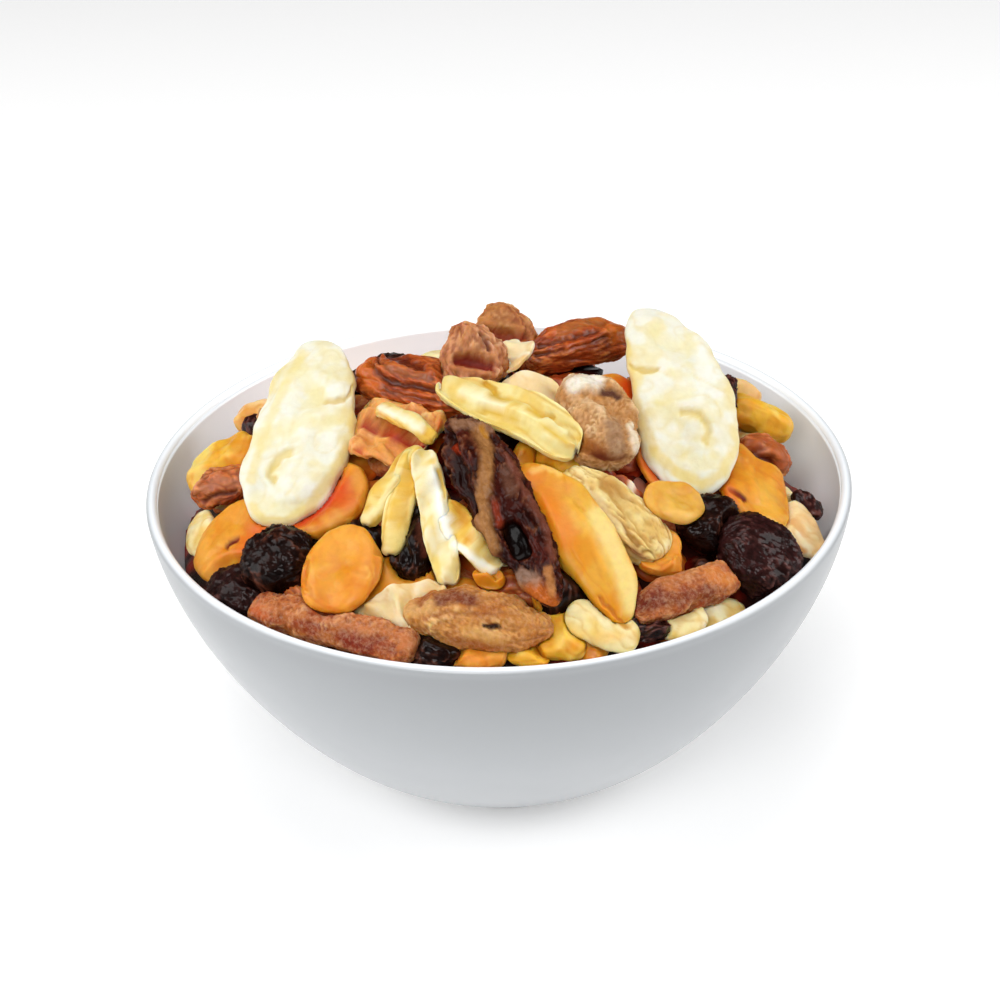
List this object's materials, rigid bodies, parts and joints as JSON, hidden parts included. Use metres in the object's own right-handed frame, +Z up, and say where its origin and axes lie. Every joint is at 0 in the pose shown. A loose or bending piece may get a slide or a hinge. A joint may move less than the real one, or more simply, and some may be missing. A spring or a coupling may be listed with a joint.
{
  "type": "bowl of dried fruit mix",
  "caption": "White glazed round bowl on a low foot ring, heaped above the rim with a mix of dried fruit: slices, dates, figs, prunes, apricots and raisins.",
  "frame": {"origin": "middle of the foot ring's underside, where the bowl stands", "axes": "+Z up out of the bowl; -Y towards the side where the heap is filled up to the rim; +X to that side's right"},
  "size_m": [0.22, 0.22, 0.1501],
  "materials": {
    "bowl_glaze": "smooth white glaze, high gloss",
    "cream_flesh": "waxy cream flesh with yellow mottling",
    "date_skin": "wrinkled reddish-brown skin, satin",
    "fig_skin": "crumpled brown skin with a dark red hollow",
    "sugared_skin": "beige-pink skin dusted with sugar, matt",
    "split_prune_skin": "dark wrinkled skin with glossy black hollows",
    "prune_skin": "near-black finely wrinkled skin, glossy",
    "raisin_skin": "reddish-brown wrinkled skin, satin",
    "dark_raisin_skin": "dark wrinkled skin, satin",
    "apricot_flesh": "translucent golden-orange flesh, satin",
    "mango_flesh": "golden-orange flesh paling to yellow, satin",
    "ridged_flesh": "cream-yellow flesh with lengthwise ridges",
    "stick_skin": "reddish-brown skin with sugar speckle",
    "spindle_skin": "tan skin with dark red marks, sugary",
    "yellow_flesh": "pale yellow to golden flesh, satin",
    "orange_flesh": "orange to amber flesh, satin",
    "pale_flesh": "cream-peach flesh, satin",
    "golden_flesh": "translucent golden flesh, glossy",
    "flap_flesh": "pale cream and tan flesh, satin",
    "folded_flesh": "cream-yellow flesh with yellow creases",
    "strip_flesh": "pale yellow flesh with a golden stripe",
    "white_flesh": "white and golden flesh, ruffled",
    "crumpled_flesh": "orange-red crumpled flesh, satin",
    "mixed_fruit": "mixed dried fruit, orange, brown, cream and near-black pieces"
  },
  "bodies": {
    "root": {"bowl": "bowl_glaze", "cream_slice_left": "cream_flesh", "cream_slice_right": "cream_flesh", "folded_slice": "folded_flesh", "fig_front": "fig_skin", "fig_back": "fig_skin", "date_left": "date_skin", "date_right": "date_skin", "split_prune": "split_prune_skin", "white_strip": "white_flesh", "forked_strip": "strip_flesh", "mango_slice": "mango_flesh", "sugared_fig": "sugared_skin", "white_shred": "strip_flesh", "apricot_front": "apricot_flesh", "golden_oval": "apricot_flesh", "prune_large": "prune_skin", "date_stick_right": "stick_skin", "date_stick_front": "stick_skin", "brown_spindle": "spindle_skin", "cream_leaf": "pale_flesh", "prune_left": "prune_skin", "prune_corner": "prune_skin", "raisin_left": "raisin_skin", "ridged_slice": "ridged_flesh", "crumpled_slice": "crumpled_flesh", "cream_curl": "flap_flesh", "pale_flap": "flap_flesh", "pale_tip": "pale_flesh", "raisin_right": "raisin_skin", "apricot_left": "apricot_flesh", "apricot_right": "apricot_flesh", "prune_right": "prune_skin", "yellow_chunk_left": "yellow_flesh", "yellow_chunk_right": "yellow_flesh", "pale_chunk_left": "yellow_flesh", "pale_chunk_right": "yellow_flesh", "raisin_rear_left": "dark_raisin_skin", "raisin_rear_right": "dark_raisin_skin", "golden_ball": "golden_flesh", "golden_wedge": "yellow_flesh", "amber_piece": "orange_flesh", "golden_drop": "golden_flesh", "cream_tail": "flap_flesh", "apricot_shaded": "apricot_flesh", "apricot_deep": "apricot_flesh", "apricot_wedge": "orange_flesh", "orange_flap": "apricot_flesh", "prune_shaded": "prune_skin", "prune_front": "prune_skin", "orange_front": "orange_flesh", "yellow_front": "yellow_flesh", "raisin_front": "dark_raisin_skin", "golden_front": "yellow_flesh", "pale_slice_right": "pale_flesh", "pale_slice_left": "pale_flesh", "pale_bit_front": "pale_flesh", "raisin_edge": "dark_raisin_skin", "fruit_heap": "mixed_fruit"}
  },
  "joints": []
}
